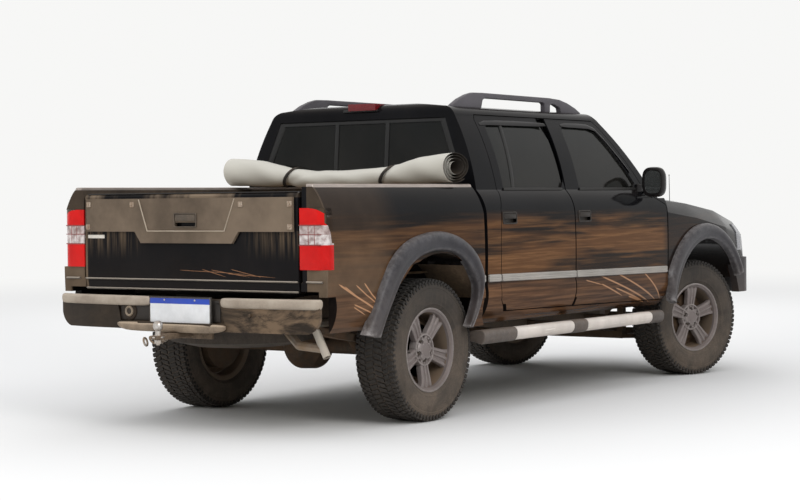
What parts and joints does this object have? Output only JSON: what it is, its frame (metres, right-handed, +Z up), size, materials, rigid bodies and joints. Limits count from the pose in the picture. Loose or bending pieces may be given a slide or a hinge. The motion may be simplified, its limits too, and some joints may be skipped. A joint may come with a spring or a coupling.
{
  "type": "pickup truck",
  "caption": "Double-cab pickup truck with an open cargo bed, rolled bed cover, side steps, roof rails and a tow ball; wheels turn and steer, doors, hood and tailgate open.",
  "frame": {"origin": "on the ground below the middle of the truck's bounding box", "axes": "+X forward, +Y to the truck's left, +Z up"},
  "size_m": [5.235, 1.972, 1.754],
  "materials": {
    "body_paint": "gloss black with dust",
    "frame_steel": "matte black",
    "cast_iron": "dull, dusty",
    "exhaust_steel": "dull",
    "tow_chrome": "bright with wear",
    "flare_plastic": "satin, weathered",
    "bumper_plastic": "satin, dusty",
    "grille_plastic": "gloss",
    "tank_plastic": "matte",
    "tail_lens": "clear gloss red",
    "head_lens": "clear gloss",
    "tinted_glass": "dark tint",
    "step_alloy": "brushed, scuffed",
    "rail_grey": "satin grey",
    "bed_rail_alloy": "satin",
    "wheel_alloy": "painted, dusty",
    "tyre": "matte, dusty",
    "spare_rubber": "matte",
    "trim_plastic": "grained",
    "seat_fabric": "woven",
    "cover_vinyl": "dusty vinyl"
  },
  "bodies": {
    "root": {"frame_rails": "frame_steel", "cab_floor": "body_paint", "cab_shell": "body_paint", "fixed_glass": "tinted_glass", "front_wings": "body_paint", "headlamps": "head_lens", "grille": "grille_plastic", "front_bumper": "bumper_plastic", "wheel_flares": "flare_plastic", "cargo_bed": "body_paint", "bed_rails": "bed_rail_alloy", "tail_lamps": "tail_lens", "rear_bumper": "bumper_plastic", "tow_hitch": "tow_chrome", "powertrain": "cast_iron", "rear_axle": "cast_iron", "front_suspension": "cast_iron", "exhaust": "exhaust_steel", "fuel_tank": "tank_plastic", "spare_wheel": "spare_rubber", "side_steps": "step_alloy", "roof_rails": "rail_grey", "dashboard": "trim_plastic", "seats": "seat_fabric", "tonneau_roll": "cover_vinyl"},
    "knuckle_left": {"knuckle_left": "cast_iron"},
    "knuckle_right": {"knuckle_right": "cast_iron"},
    "door_front_left": {"door_front_left": "body_paint", "glass_front_left": "tinted_glass"},
    "door_front_right": {"door_front_right": "body_paint", "glass_front_right": "tinted_glass"},
    "door_rear_left": {"door_rear_left": "body_paint", "glass_rear_left": "tinted_glass"},
    "door_rear_right": {"door_rear_right": "body_paint", "glass_rear_right": "tinted_glass"},
    "hood": {"hood": "body_paint"},
    "tailgate": {"tailgate": "body_paint"},
    "fuel_lid": {"fuel_lid": "body_paint"},
    "steering_wheel": {"steering_wheel": "trim_plastic"},
    "wheel_front_left": {"tyre_front_left": "tyre", "rim_front_left": "wheel_alloy"},
    "wheel_front_right": {"tyre_front_right": "tyre", "rim_front_right": "wheel_alloy"},
    "wheel_rear_left": {"tyre_rear_left": "tyre", "rim_rear_left": "wheel_alloy"},
    "wheel_rear_right": {"tyre_rear_right": "tyre", "rim_rear_right": "wheel_alloy"}
  },
  "joints": [
    {"name": "steer_left", "type": "hinge", "parent": "root", "child": "knuckle_left", "pos_m": [1.7495, 0.62, 0.372], "axis": [0, 0, 1], "range_deg": [-16, 48]},
    {"name": "steer_right", "type": "hinge", "parent": "root", "child": "knuckle_right", "pos_m": [1.7495, -0.62, 0.372], "axis": [0, 0, 1], "range_deg": [-16, 48]},
    {"name": "steering_turn", "type": "hinge", "parent": "root", "child": "steering_wheel", "pos_m": [0.7325, 0.37, 1.035], "axis": [-0.9063, 0, 0.4226], "range_deg": [-270, 810]},
    {"name": "spin_front_left", "type": "hinge", "parent": "knuckle_left", "child": "wheel_front_left", "pos_m": [1.77431, 0.70651, 0.372], "axis": [0.2756, 0.9613, 0], "continuous": true},
    {"name": "spin_front_right", "type": "hinge", "parent": "knuckle_right", "child": "wheel_front_right", "pos_m": [1.72469, -0.70651, 0.372], "axis": [0.2756, 0.9613, 0], "continuous": true},
    {"name": "spin_rear_left", "type": "hinge", "parent": "root", "child": "wheel_rear_left", "pos_m": [-1.3725, 0.697, 0.372], "axis": [0, 1, 0], "continuous": true},
    {"name": "spin_rear_right", "type": "hinge", "parent": "root", "child": "wheel_rear_right", "pos_m": [-1.3725, -0.697, 0.372], "axis": [0, 1, 0], "continuous": true},
    {"name": "door_front_left_swing", "type": "hinge", "parent": "root", "child": "door_front_left", "pos_m": [1.1385, 0.846, 0.84], "axis": [0, 0, -1], "range_deg": [0, 62]},
    {"name": "door_front_right_swing", "type": "hinge", "parent": "root", "child": "door_front_right", "pos_m": [1.1385, -0.846, 0.84], "axis": [0, 0, 1], "range_deg": [0, 62]},
    {"name": "door_rear_left_swing", "type": "hinge", "parent": "root", "child": "door_rear_left", "pos_m": [-0.0285, 0.846, 0.84], "axis": [0, 0, -1], "range_deg": [0, 62]},
    {"name": "door_rear_right_swing", "type": "hinge", "parent": "root", "child": "door_rear_right", "pos_m": [-0.0285, -0.846, 0.84], "axis": [0, 0, 1], "range_deg": [0, 62]},
    {"name": "hood_lift", "type": "hinge", "parent": "root", "child": "hood", "pos_m": [1.3875, 0, 1.15], "axis": [0, -1, 0], "range_deg": [0, 50]},
    {"name": "tailgate_drop", "type": "hinge", "parent": "root", "child": "tailgate", "pos_m": [-2.3275, 0, 0.724], "axis": [0, -1, 0], "range_deg": [0, 90]},
    {"name": "fuel_lid_swing", "type": "hinge", "parent": "root", "child": "fuel_lid", "pos_m": [-2.0285, 0.86, 0.98], "axis": [0, 0, -1], "range_deg": [0, 90]}
  ],
  "couplings": [
    {"joint": "steer_right", "follows": "steer_left", "ratio": 1},
    {"joint": "steering_turn", "follows": "steer_left", "ratio": 16.875}
  ]
}
